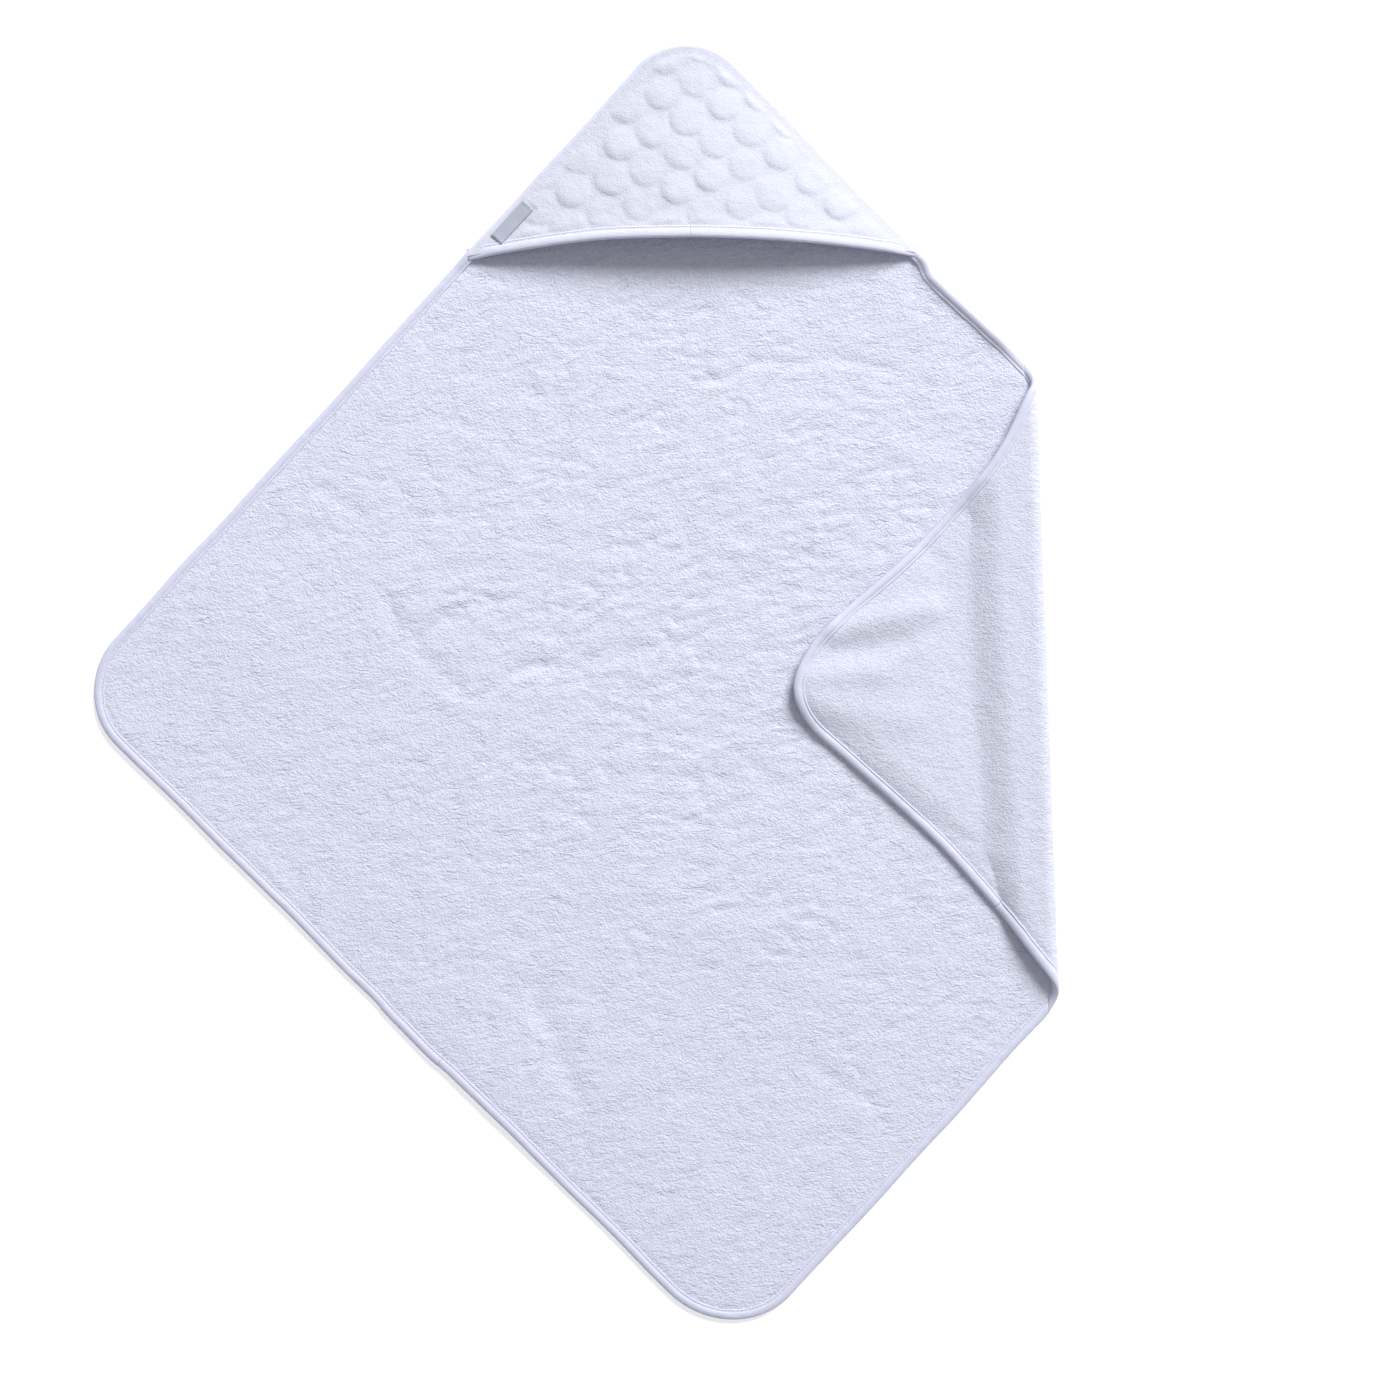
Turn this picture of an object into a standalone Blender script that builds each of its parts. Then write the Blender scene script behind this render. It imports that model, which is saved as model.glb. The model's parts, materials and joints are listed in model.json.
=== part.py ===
"""Hooded baby towel, laid flat, with its right-hand corner folded over onto it.

The towel is a square of terry with a bound edge. One corner, the apex, carries a padded
hood whose front edge is free. +Y runs along the square's diagonal to the apex, +Z is up
and the floor is at z = 0. All sub-parts are worked out in the square's own coordinates,
with the square's centre at (0, 0), and hang from an empty that puts the middle of the
folded towel's footprint at the origin.

The folded corner is made flat, as it lies when it is opened out, and is turned over by
the empty on the fold's axis. The hood hangs from an empty on the axis that it lifts about.
"""

import math

import bmesh
import bpy
from mathutils import Vector

# ---------------------------------------------------------------- driving dimensions (m)
HALF_LENGTH = 0.578          # centre to the apex or the foot, before corners are rounded
HALF_WIDTH = 0.555           # centre to a side corner, before it is rounded
SKEW = 0.0143                # the cloth lies a little out of square: left up, right down
APEX_RADIUS = 0.058
SIDE_RADIUS = 0.066
FOOT_RADIUS = 0.074
ARC_STEPS = 10               # pieces that each rounded corner is drawn with

TERRY_THICKNESS = 0.005      # pile included
TAPE_WIDTH = 0.010
TAPE_THICKNESS = 0.0007
TAPE_CHAMFER = 0.0012
GAP = 0.0003                 # between touching pieces
JOIN_START = 0.475           # joins, as shares of the lower left side from the left corner
JOIN_END = 0.557
JOIN_OVERLAP = 0.001         # the doubled tape between the joins stands out this far

FOLD_BEND_X = 0.2805         # middle of the round bend that the folded corner turns in
FOLD_HEIGHT = 0.021          # top of the folded corner above the floor
HINGE_OFFSET = 0.005         # the fold's axis lies this far outside the bend's middle
FOLD_TAKE_UP = 0.0306        # width of cloth that the bend and its waves use up
CORNER_BOW = 0.011           # the folded corner's edges are drawn in this far
CORNER_JOIN_STEP = 2         # join on the folded corner, in steps of its foot side
BOW_STEPS = 8
BEND_STEPS = 12

HOOD_SHARE = 0.3635          # share of each side, from the apex, that the hood is sewn to
HOOD_RISE = 0.020            # how far the middle of the front edge stands up
FRONT_ARCH = 0.014           # how far the front edge curves towards the apex
HOOD_BASE = 0.0064           # underside of the lining where it is sewn down
HOOD_MARGIN = 0.0015         # hood layers end this far inside the outline
LINING_THICKNESS = 0.0012
WADDING_THICKNESS = 0.0030
COVER_THICKNESS = 0.0015
LAYER_GAP = 0.0004
HOOD_COLUMNS = 20
HOOD_ROWS = 14
FRONT_TAPE_SHARE = 0.90      # share of the front edge's width that its tape covers

THREAD_RADIUS = 0.00035
THREAD_INSET = 0.0015        # from the tape's inner edge to the line of stitches
LABEL_LENGTH = 0.041
LABEL_WIDTH = 0.0135
LABEL_THICKNESS = 0.0006
LABEL_INSET = 0.0145         # from the outline to the label's middle
LABEL_DISTANCE = 0.2295      # from the apex to the label's middle, along the left side
LABEL_HEM = 0.0015           # from the label's end to its stitches

# ---------------------------------------------------------------- derived sizes
APEX = Vector((0.0, HALF_LENGTH))
LEFT = Vector((-HALF_WIDTH, SKEW))
FOOT = Vector((0.0, -HALF_LENGTH))
RIGHT = Vector((HALF_WIDTH, -SKEW))
HINGE_X = FOLD_BEND_X + HINGE_OFFSET
HINGE_Z = FOLD_HEIGHT / 2
OPEN_CUT_X = 2 * HINGE_X - FOLD_BEND_X
RIM_INSET = TAPE_THICKNESS + GAP
FIELD_INSET = TAPE_WIDTH + GAP
WADDING_BASE = HOOD_BASE + LINING_THICKNESS + LAYER_GAP
COVER_BASE = WADDING_BASE + WADDING_THICKNESS + LAYER_GAP
HOOD_TOP = COVER_BASE + COVER_THICKNESS
FRONT_SPARE = TAPE_THICKNESS + 3 * GAP
FRONT_TAPE_HEIGHT = HOOD_TOP - HOOD_BASE + 2 * FRONT_SPARE
THREAD_LIFT = GAP + THREAD_RADIUS

COLOURS = {                  # slot: (base colour, roughness)
    "terry": ((0.80, 0.82, 0.92), 0.95),
    "tape": ((0.84, 0.86, 0.95), 0.80),
    "velour": ((0.88, 0.89, 0.97), 0.90),
    "wadding": ((0.90, 0.90, 0.90), 1.00),
    "lining": ((0.80, 0.82, 0.92), 0.92),
    "thread": ((0.70, 0.72, 0.82), 0.60),
    "label_thread": ((0.22, 0.23, 0.27), 0.60),
    "label": ((0.42, 0.44, 0.50), 0.55),
}


# ---------------------------------------------------------------- outlines
def left_of(direction):
    return Vector((-direction.y, direction.x)).normalized()


def rounded_corner(before, corner, after, radius):
    """Points of the arc that rounds a corner between two straight sides."""
    to_before = (before - corner).normalized()
    to_after = (after - corner).normalized()
    half_angle = to_before.angle(to_after) / 2
    centre = corner + (to_before + to_after).normalized() * (radius / math.sin(half_angle))
    start = corner + to_before * (radius / math.tan(half_angle)) - centre
    points = []
    for step in range(ARC_STEPS + 1):
        angle = (math.pi - 2 * half_angle) * step / ARC_STEPS
        turned = start * math.cos(angle) + left_of(start) * (radius * math.sin(angle))
        points.append(centre + turned)
    return points


def at_x(a, b, x):
    """The point of the line a-b at a given x."""
    return a + (b - a) * ((x - a.x) / (b.x - a.x))


def trimmed(points, x):
    """The path with its two ends slid along their own sides to a given x."""
    first = at_x(points[0], points[1], x)
    last = at_x(points[-1], points[-2], x)
    return [first] + points[1:-1] + [last]


def inset(points, distance):
    """The path moved to its left by a distance."""
    sides = [left_of(b - a) for a, b in zip(points, points[1:])]
    moved = []
    for point, before, after in zip(points, sides[:1] + sides, sides + sides[-1:]):
        middle = (before + after).normalized()
        moved.append(point + middle * (distance / middle.dot(after)))
    return moved


def lengths_along(points):
    """Distance from the path's start to each of its points."""
    walked = [0.0]
    for a, b in zip(points, points[1:]):
        walked.append(walked[-1] + (b - a).length)
    return walked


def point_along(points, distance):
    """The point that lies a distance along the path."""
    walked = lengths_along(points)
    for index in range(len(points) - 1):
        if distance <= walked[index + 1] or index == len(points) - 2:
            span = walked[index + 1] - walked[index]
            return points[index].lerp(points[index + 1], (distance - walked[index]) / span)
    return points[-1]


def distance_of(points, target):
    """How far along the path a point on it lies."""
    walked = lengths_along(points)
    for index, (a, b) in enumerate(zip(points, points[1:])):
        detour = (target - a).length + (b - target).length - (b - a).length
        if detour < 1e-6:
            return walked[index] + (target - a).length
    raise ValueError("the point isn't on the path")


def stretch(points, start, end):
    """The part of a path between two distances along it."""
    walked = lengths_along(points)
    between = [p for p, w in zip(points, walked) if start + GAP < w < end - GAP]
    return [point_along(points, start)] + between + [point_along(points, end)]


def towel_path(distance=0.0):
    """The towel's edge, inset, from the fold's apex end round to its foot end."""
    corners = (
        rounded_corner(RIGHT, APEX, LEFT, APEX_RADIUS)
        + rounded_corner(APEX, LEFT, FOOT, SIDE_RADIUS)
        + rounded_corner(LEFT, FOOT, RIGHT, FOOT_RADIUS)
    )
    first = at_x(APEX, RIGHT, FOLD_BEND_X)
    last = at_x(FOOT, RIGHT, FOLD_BEND_X)
    return trimmed(inset([first] + corners + [last], distance), FOLD_BEND_X)


def drawn_in(start, end):
    """A side of the folded corner, curved inward, both ends included."""
    points = []
    for step in range(BOW_STEPS + 1):
        share = step / BOW_STEPS
        bow = left_of(end - start) * (CORNER_BOW * math.sin(math.pi * share))
        points.append(start.lerp(end, share) + bow)
    return points


def corner_path(distance=0.0):
    """The opened-out corner's edge, inset, from the fold's foot end to its apex end."""
    shift = Vector((FOLD_TAKE_UP, 0.0))
    apex, right, foot = APEX - shift, RIGHT - shift, FOOT - shift
    arc = rounded_corner(foot, right, apex, SIDE_RADIUS)
    foot_side = drawn_in(at_x(foot, right, OPEN_CUT_X), arc[0])
    apex_side = drawn_in(arc[-1], at_x(apex, right, OPEN_CUT_X))
    return trimmed(inset(foot_side[:-1] + arc + apex_side[1:], distance), OPEN_CUT_X)


# ---------------------------------------------------------------- the hood's surface
def hood_seams():
    """The hood's left and right sewn edges, each from the apex to the front edge."""
    arc = rounded_corner(RIGHT, APEX, LEFT, APEX_RADIUS)
    middle = ARC_STEPS // 2
    left = arc[middle:] + [APEX.lerp(LEFT, HOOD_SHARE)]
    right = arc[middle::-1] + [APEX.lerp(RIGHT, HOOD_SHARE)]
    return inset(left, HOOD_MARGIN), inset(right, -HOOD_MARGIN)


def hood_plan(across, down):
    """A point of the hood seen from above; both run 0 to 1, down from the apex."""
    left, right = hood_seams()
    a = point_along(left, down * lengths_along(left)[-1])
    b = point_along(right, down * lengths_along(right)[-1])
    arch = FRONT_ARCH * down * down * 4 * across * (1 - across)
    return a.lerp(b, across) + Vector((0.0, arch))


def hood_lift(point):
    """How far the hood stands above its sewn edges at a point seen from above.

    The rise follows a parabola from side to side, and eases in from the apex and out
    again at the front edge.
    """
    along_left = (LEFT - APEX) * HOOD_SHARE
    along_right = (RIGHT - APEX) * HOOD_SHARE
    offset = point - APEX
    scale = along_left.cross(along_right)
    left_share = max(offset.cross(along_right) / scale, 0.0)
    right_share = max(along_left.cross(offset) / scale, 0.0)
    down = max(left_share + right_share, 1e-6)
    ease = min(down, 1.0) ** 2 * (3 - 2 * min(down, 1.0))
    return HOOD_RISE * ease * 4 * left_share * right_share / down ** 2


def raised(point, height):
    return Vector((point.x, point.y, height + hood_lift(point)))


def front_line(back=0.0):
    """Points along the hood's front edge, seen from above, moved back towards the apex."""
    edge = []
    for column in range(HOOD_COLUMNS + 1):
        across = 0.5 + FRONT_TAPE_SHARE * (column / HOOD_COLUMNS - 0.5)
        edge.append(hood_plan(across, 1.0))
    return inset(edge, back)


def front_pitches():
    """Slope of the hood's surface across its front tape, as an angle at each point."""
    pitches = []
    for front, behind in zip(front_line(), front_line(TAPE_WIDTH)):
        pitches.append(math.atan2(hood_lift(behind) - hood_lift(front), TAPE_WIDTH))
    return pitches


# ---------------------------------------------------------------- making objects
def clear_scene():
    for old in list(bpy.data.objects):
        bpy.data.objects.remove(old, do_unlink=True)


def collection(name):
    made = bpy.data.collections.new(name)
    bpy.context.scene.collection.children.link(made)
    return made


def material(slot):
    if slot in bpy.data.materials:
        return bpy.data.materials[slot]
    made = bpy.data.materials.new(slot)
    made.use_nodes = True
    shader = made.node_tree.nodes["Principled BSDF"]
    colour, roughness = COLOURS[slot]
    shader.inputs["Base Color"].default_value = (*colour, 1.0)
    shader.inputs["Roughness"].default_value = roughness
    shader.inputs["Metallic"].default_value = 0.0
    made.diffuse_color = (*colour, 1.0)
    return made


def empty(name, place, parent=None):
    made = bpy.data.objects.new(name, None)
    PARTS.objects.link(made)
    made.location = place
    made.parent = parent
    return made


def pivot_of(holder):
    """Where an empty stands in the square's coordinates."""
    return Vector((0, 0, 0)) if holder is SQUARE else Vector(holder.location)


def add_object(name, data, holder, slot):
    """A piece whose mesh is in the square's coordinates, hung from an empty."""
    made = bpy.data.objects.new(name, data)
    PARTS.objects.link(made)
    made.parent = holder
    pivot = pivot_of(holder)
    for vertex in data.vertices:
        vertex.co -= pivot
    data.materials.clear()
    data.materials.append(material(slot))
    return made


def curve_data(name, points, cyclic=False, tilts=()):
    data = bpy.data.curves.new(name, "CURVE")
    data.dimensions = "3D"
    data.twist_mode = "Z_UP"
    spline = data.splines.new("POLY")
    spline.points.add(len(points) - 1)
    for target, point in zip(spline.points, points):
        target.co = (point.x, point.y, point.z if len(point) > 2 else 0.0, 1.0)
    for target, tilt in zip(spline.points, tilts):
        target.tilt = tilt
    spline.use_cyclic_u = cyclic
    return data


def mesh_of_curve(name, data, lift=0.0):
    """The curve as a mesh with its caps welded on and its faces pointing out."""
    source = bpy.data.objects.new(name + "_route", data)
    GUIDES.objects.link(source)
    depsgraph = bpy.context.evaluated_depsgraph_get()
    mesh = bpy.data.meshes.new_from_object(source.evaluated_get(depsgraph))
    bpy.data.objects.remove(source, do_unlink=True)
    bpy.data.curves.remove(data)
    shape = bmesh.new()
    shape.from_mesh(mesh)
    bmesh.ops.remove_doubles(shape, verts=shape.verts, dist=1e-6)
    bmesh.ops.recalc_face_normals(shape, faces=shape.faces)
    bmesh.ops.translate(shape, verts=shape.verts, vec=(0, 0, lift))
    shape.to_mesh(mesh)
    shape.free()
    mesh.name = name
    return mesh


def slab_mesh(name, outline, bottom, top):
    """A flat outline given a thickness."""
    data = curve_data(name, outline, cyclic=True)
    data.dimensions = "2D"
    data.fill_mode = "BOTH"
    data.extrude = (top - bottom) / 2
    return mesh_of_curve(name, data, lift=(top + bottom) / 2)


def tape_profile(name, height, width):
    """Section of a tape folded round an edge: a U that opens towards the cloth."""
    half, t, c = height / 2, TAPE_THICKNESS, TAPE_CHAMFER
    corners = [
        (c, -half), (width, -half), (width, t - half), (t, t - half),
        (t, half - t), (width, half - t), (width, half), (c, half),
        (0.0, half - c), (0.0, c - half),
    ]
    data = curve_data(name, [Vector((-x, y, 0.0)) for x, y in corners], cyclic=True)
    data.dimensions = "2D"
    data.fill_mode = "NONE"
    made = bpy.data.objects.new(name, data)
    GUIDES.objects.link(made)
    made.hide_render = True
    made.display_type = "WIRE"
    return made


def tape(name, route, profile, holder, middle_height=0.0, tilts=()):
    """A tape along a route, with the cloth on the route's left."""
    data = curve_data(name, route, tilts=tilts)
    data.bevel_mode = "OBJECT"
    data.bevel_object = profile
    data.use_fill_caps = True
    return add_object(name, mesh_of_curve(name, data, lift=middle_height), holder, "tape")


def thread(name, route, holder, slot="thread"):
    data = curve_data(name, route)
    data.bevel_depth = THREAD_RADIUS
    data.bevel_resolution = 1
    data.use_fill_caps = True
    made = add_object(name, mesh_of_curve(name, data), holder, slot)
    made.data.shade_smooth()
    return made


def terry_slab(name, path, holder):
    """Terry of full thickness in its field, squeezed thin along the edge in the tape."""
    rim_bottom = TAPE_THICKNESS + GAP
    rim_top = TERRY_THICKNESS - TAPE_THICKNESS - GAP
    made = add_object(
        name, slab_mesh(name, path(RIM_INSET), rim_bottom, rim_top), holder, "terry")
    field_name = name + "_field"
    field = add_object(
        field_name, slab_mesh(field_name, path(FIELD_INSET), 0.0, TERRY_THICKNESS),
        holder, "terry")
    PARTS.objects.unlink(field)
    GUIDES.objects.link(field)
    field.hide_render = True
    field.display_type = "WIRE"
    join = made.modifiers.new("full_thickness", "BOOLEAN")
    join.operation = "UNION"
    join.solver = "EXACT"
    join.object = field
    return made


def draped(name, place, columns, rows, thickness, slot):
    """A sheet laid on the hood: a grid whose points are put in place, then thickened."""
    shape = bmesh.new()
    bmesh.ops.create_grid(shape, x_segments=columns, y_segments=rows, size=1.0)
    for vertex in shape.verts:
        vertex.co = place((vertex.co.x + 1) / 2, (vertex.co.y + 1) / 2)
    mesh = bpy.data.meshes.new(name)
    shape.to_mesh(mesh)
    shape.free()
    mesh.shade_smooth()
    made = add_object(name, mesh, HOOD_AXIS, slot)
    solid = made.modifiers.new("thickness", "SOLIDIFY")
    solid.thickness = thickness
    solid.offset = 1.0
    return made


# ---------------------------------------------------------------- sub-parts
def make_terry():
    terry_slab("terry_panel", towel_path, SQUARE)
    terry_slab("folded_corner", corner_path, FOLD_AXIS)


def make_fold_bend():
    """The cloth that goes round the fold: half a tube, its ends cut on the slant."""
    outer, inner = FOLD_HEIGHT / 2, FOLD_HEIGHT / 2 - TERRY_THICKNESS
    angles = [math.pi * (step / BEND_STEPS - 0.5) for step in range(BEND_STEPS + 1)]
    outline = [Vector((math.cos(a), math.sin(a))) * outer for a in angles]
    outline += [Vector((math.cos(a), math.sin(a))) * inner for a in reversed(angles)]
    mesh = slab_mesh("fold_bend", outline, -0.5, 0.5)
    lower, upper = towel_path(FIELD_INSET), corner_path(FIELD_INSET)
    for vertex in mesh.vertices:
        x, z, side = vertex.co
        share = min((z + outer) / (2 * outer - TERRY_THICKNESS), 1.0)
        apex_end = lower[0].y + (upper[-1].y - lower[0].y) * share
        foot_end = lower[-1].y + (upper[0].y - lower[-1].y) * share
        y = apex_end if side > 0 else foot_end
        vertex.co = (FOLD_BEND_X + GAP + x, y, HINGE_Z + z)
    shape = bmesh.new()
    shape.from_mesh(mesh)
    bmesh.ops.recalc_face_normals(shape, faces=shape.faces)
    shape.to_mesh(mesh)
    shape.free()
    add_object("fold_bend", mesh, SQUARE, "terry")


def make_edge_tapes():
    profile = tape_profile("tape_section", TERRY_THICKNESS, TAPE_WIDTH)
    wide = tape_profile("join_section", TERRY_THICKNESS, TAPE_WIDTH + JOIN_OVERLAP)
    middle = TERRY_THICKNESS / 2
    edge = towel_path()
    first = distance_of(edge, LEFT.lerp(FOOT, JOIN_START))
    second = distance_of(edge, LEFT.lerp(FOOT, JOIN_END))
    end = lengths_along(edge)[-1]
    tape("binding_main", stretch(edge, 0.0, first), profile, SQUARE, middle)
    doubled = inset(stretch(edge, first + GAP, second), -JOIN_OVERLAP)
    tape("binding_join", doubled, wide, SQUARE, middle)
    tape("binding_foot", stretch(edge, second + GAP, end), profile, SQUARE, middle)
    corner = corner_path()
    join = lengths_along(corner)[CORNER_JOIN_STEP]
    end = lengths_along(corner)[-1]
    tape("corner_binding_foot", stretch(corner, 0.0, join), profile, FOLD_AXIS, middle)
    tape("corner_binding_top", stretch(corner, join + GAP, end), profile, FOLD_AXIS, middle)


def make_edge_stitching():
    height = TERRY_THICKNESS + THREAD_LIFT
    line = TAPE_WIDTH - THREAD_INSET
    towel = [Vector((p.x, p.y, height)) for p in towel_path(line)]
    corner = [Vector((p.x, p.y, height)) for p in corner_path(line)]
    thread("edge_stitching", towel, SQUARE)
    thread("corner_stitching", corner, FOLD_AXIS)


def make_hood_layers():
    layers = (
        ("hood_lining", HOOD_BASE, LINING_THICKNESS, "lining"),
        ("hood_wadding", WADDING_BASE, WADDING_THICKNESS, "wadding"),
        ("hood_cover", COVER_BASE, COVER_THICKNESS, "velour"),
    )
    for name, base, thickness, slot in layers:
        def place(across, up, base=base):
            down = 1.0 - up * (1.0 - 1.0 / HOOD_ROWS)
            return raised(hood_plan(across, down), base)
        draped(name, place, HOOD_COLUMNS, HOOD_ROWS - 1, thickness, slot)


def make_hood_binding():
    profile = tape_profile("front_section", FRONT_TAPE_HEIGHT, TAPE_WIDTH)
    middle = (HOOD_BASE + HOOD_TOP) / 2
    lifts = [hood_lift(point) for point in front_line()]
    route = [Vector((p.x, p.y, middle + z)) for p, z in zip(front_line(-FRONT_SPARE), lifts)]
    tape("hood_binding", route, profile, HOOD_AXIS, tilts=front_pitches())
    stitched = front_line(TAPE_WIDTH - FRONT_SPARE - THREAD_INSET)
    top = middle + FRONT_TAPE_HEIGHT / 2 + THREAD_LIFT + GAP
    thread("hood_stitching", [raised(point, top) for point in stitched], HOOD_AXIS)


def label_point(along, inward, height):
    down_side = (LEFT - APEX).normalized()
    middle = APEX + down_side * LABEL_DISTANCE + left_of(down_side) * LABEL_INSET
    spot = middle + down_side * along + left_of(down_side) * inward
    return raised(spot, height)


def make_label():
    base = HOOD_TOP + 2 * GAP

    def place(across, up):
        return label_point((0.5 - up) * LABEL_LENGTH, (across - 0.5) * LABEL_WIDTH, base)
    draped("woven_label", place, 4, 8, LABEL_THICKNESS, "label")
    height = base + LABEL_THICKNESS + THREAD_LIFT + GAP
    end = LABEL_LENGTH / 2 - LABEL_HEM
    reach = LABEL_WIDTH / 2 - LABEL_HEM
    for name, along in (("label_stitch_upper", -end), ("label_stitch_lower", end)):
        route = [label_point(along, inward, height) for inward in (-reach, 0.0, reach)]
        thread(name, route, HOOD_AXIS, "label_thread")


# ---------------------------------------------------------------- the whole towel
clear_scene()
PARTS = collection("hooded_towel")
GUIDES = collection("guides")

EDGE = towel_path()
FOOTPRINT_X = (min(p.x for p in EDGE) + FOLD_BEND_X + GAP + FOLD_HEIGHT / 2) / 2
FOOTPRINT_Y = (min(p.y for p in EDGE) + max(p.y for p in EDGE)) / 2
SQUARE = empty("square_centre", (-FOOTPRINT_X, -FOOTPRINT_Y, 0.0))
FOLD_AXIS = empty("fold_axis", (HINGE_X, 0.0, HINGE_Z), SQUARE)
HOOD_AXIS = empty("hood_axis", (0.0, max(p.y for p in EDGE), HOOD_BASE - GAP), SQUARE)

make_terry()
make_fold_bend()
make_edge_tapes()
make_edge_stitching()
make_hood_layers()
make_hood_binding()
make_label()
FOLD_AXIS.rotation_euler.y = math.pi
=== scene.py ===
"""Looks of the hooded baby towel: terry, velour, tapes, stitching, floor, light, camera.

Shapes are worked out in the towel's own plan: the square's centre at (0, 0), +Y to the
hooded corner, metres. ORIGIN moves that plan into the CAD frame. A "lay" function turns
plan points and heights above a cloth's middle into places in space.
"""

import json
import math

import bpy
import numpy as np
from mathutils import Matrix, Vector, geometry


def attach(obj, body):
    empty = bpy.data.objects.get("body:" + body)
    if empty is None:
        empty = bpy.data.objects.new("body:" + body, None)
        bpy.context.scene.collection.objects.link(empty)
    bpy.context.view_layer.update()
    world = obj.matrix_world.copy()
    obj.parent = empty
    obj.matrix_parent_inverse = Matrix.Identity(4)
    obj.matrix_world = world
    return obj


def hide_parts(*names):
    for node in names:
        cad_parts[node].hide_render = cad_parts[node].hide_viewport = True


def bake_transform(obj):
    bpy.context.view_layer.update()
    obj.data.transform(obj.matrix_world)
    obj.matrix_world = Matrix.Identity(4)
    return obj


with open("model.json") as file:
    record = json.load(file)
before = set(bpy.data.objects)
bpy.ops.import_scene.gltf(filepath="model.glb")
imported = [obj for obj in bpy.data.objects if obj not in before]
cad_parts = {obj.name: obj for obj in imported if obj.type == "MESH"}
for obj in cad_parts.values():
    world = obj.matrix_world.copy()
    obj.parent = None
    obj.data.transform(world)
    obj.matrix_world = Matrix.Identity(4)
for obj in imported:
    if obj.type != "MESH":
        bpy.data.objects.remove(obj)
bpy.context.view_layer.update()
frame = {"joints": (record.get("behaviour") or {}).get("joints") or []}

# -------------------------------- sizes shared with the CAD
HALF_LENGTH, HALF_WIDTH, SKEW = 0.578, 0.555, 0.0143
APEX_RADIUS, SIDE_RADIUS, FOOT_RADIUS = 0.058, 0.066, 0.074
FOLD_X = 0.2805              # middle of the round bend, in plan
HINGE_OFFSET = 0.005         # the folded corner's pivot lies this far outside it
HOOD_SHARE, HOOD_RISE, HOOD_LIP = 0.3635, 0.026, 0.0065
HOOD_SEAT = 0.0068           # middle of the hood's cloth where it is sewn down
JOIN_START, JOIN_END = 0.475, 0.557
LABEL_DISTANCE, LABEL_INSET = 0.2330, 0.0125
LABEL_LENGTH, LABEL_WIDTH = 0.0405, 0.0125

APEX = np.array((0.0, HALF_LENGTH))
LEFT = np.array((-HALF_WIDTH, SKEW))
FOOT = np.array((0.0, -HALF_LENGTH))
RIGHT = np.array((HALF_WIDTH, -SKEW))

JOINTS = {joint["name"]: joint for joint in frame["joints"]}
FOLD_PIVOT = JOINTS["corner_fold"]["pos_m"]
HOOD_PIVOT = JOINTS["hood_open"]["pos_m"]
APEX_TOP = 0.552274          # highest plan point of the rounded apex
ORIGIN = np.array((FOLD_PIVOT[0] - FOLD_X - HINGE_OFFSET, HOOD_PIVOT[1] - APEX_TOP, 0.0))

# -------------------------------- cloth sizes
CLOTH_MIDDLE = 0.0029        # middle of the flat cloth above the floor
CLOTH_HALF = 0.0022          # half its thickness, pile roots included
RIM_HALF = 0.0014            # half its thickness where the tape squeezes it
BEND_RADIUS = 0.0073
BEND_LENGTH = math.pi * BEND_RADIUS
TAPE_SHARE = 0.86            # width of the edge tape, as a share of TAPE_SECTION
STITCH_INSET = 0.0084        # from a tape's outer edge in to the groove it is sewn along
SEAM_INSET = 0.0036          # cloth ends this far inside the tape's outer edge
BUBBLE_PITCH, BUBBLE_ANGLE, BUBBLE_HEIGHT = 0.0325, math.radians(17), 0.0020
BUBBLE_ORIGIN, BUBBLE_RADIUS = np.array((-0.0065, 0.455)), 0.0156
SLUMP = np.array((0.62, 0.78))   # each bubble is lowest on this side
HOOD_COVERS = (0.355, 0.385)     # the hood presses the terry from here on, in plan Y
EDGE_STEP = 0.0022           # between points of the towel's outlines
TAPE_STEP = 0.0018           # between points along a tape or a hood seam
SMALL_CHUNK = 4000           # points measured at a time against a long path


# -------------------------------- plan geometry
def unit(vector):
    return vector / np.linalg.norm(vector, axis=-1, keepdims=True)


def left_of(vector):
    vector = np.asarray(vector, float)
    return unit(np.stack((-vector[..., 1], vector[..., 0]), axis=-1))


def smooth(low, high, value):
    share = np.clip((value - low) / (high - low), 0.0, 1.0)
    return share * share * (3 - 2 * share)


def rounded_corner(before, corner, after, radius, steps=24):
    to_before, to_after = unit(before - corner), unit(after - corner)
    half_angle = math.acos(float(to_before @ to_after)) / 2
    centre = corner + unit(to_before + to_after) * radius / math.sin(half_angle)
    start = corner + to_before * radius / math.tan(half_angle) - centre
    turn = np.linspace(0, math.pi - 2 * half_angle, steps + 1)[:, None]
    return centre + start * np.cos(turn) + left_of(start) * radius * np.sin(turn)


def at_x(a, b, x):
    return a + (b - a) * ((x - a[0]) / (b[0] - a[0]))


def lengths_along(path):
    steps = np.linalg.norm(np.diff(path, axis=0), axis=1)
    return np.concatenate(([0.0], np.cumsum(steps)))


def resampled(path, spacing):
    """The path with evenly spaced points, ends kept."""
    walked = lengths_along(path)
    count = max(int(round(walked[-1] / spacing)), 1)
    places = np.linspace(0, walked[-1], count + 1)
    return np.stack([np.interp(places, walked, path[:, k]) for k in (0, 1)], axis=1)


def inset(path, distance):
    """The path moved to its left; distance may be one number or one for each point."""
    sides = left_of(np.diff(path, axis=0))
    before = np.concatenate((sides[:1], sides))
    after = np.concatenate((sides, sides[-1:]))
    middle = unit(before + after)
    reach = np.asarray(distance) / np.maximum(np.sum(middle * after, axis=1), 0.5)
    return path + middle * reach[:, None]


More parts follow.
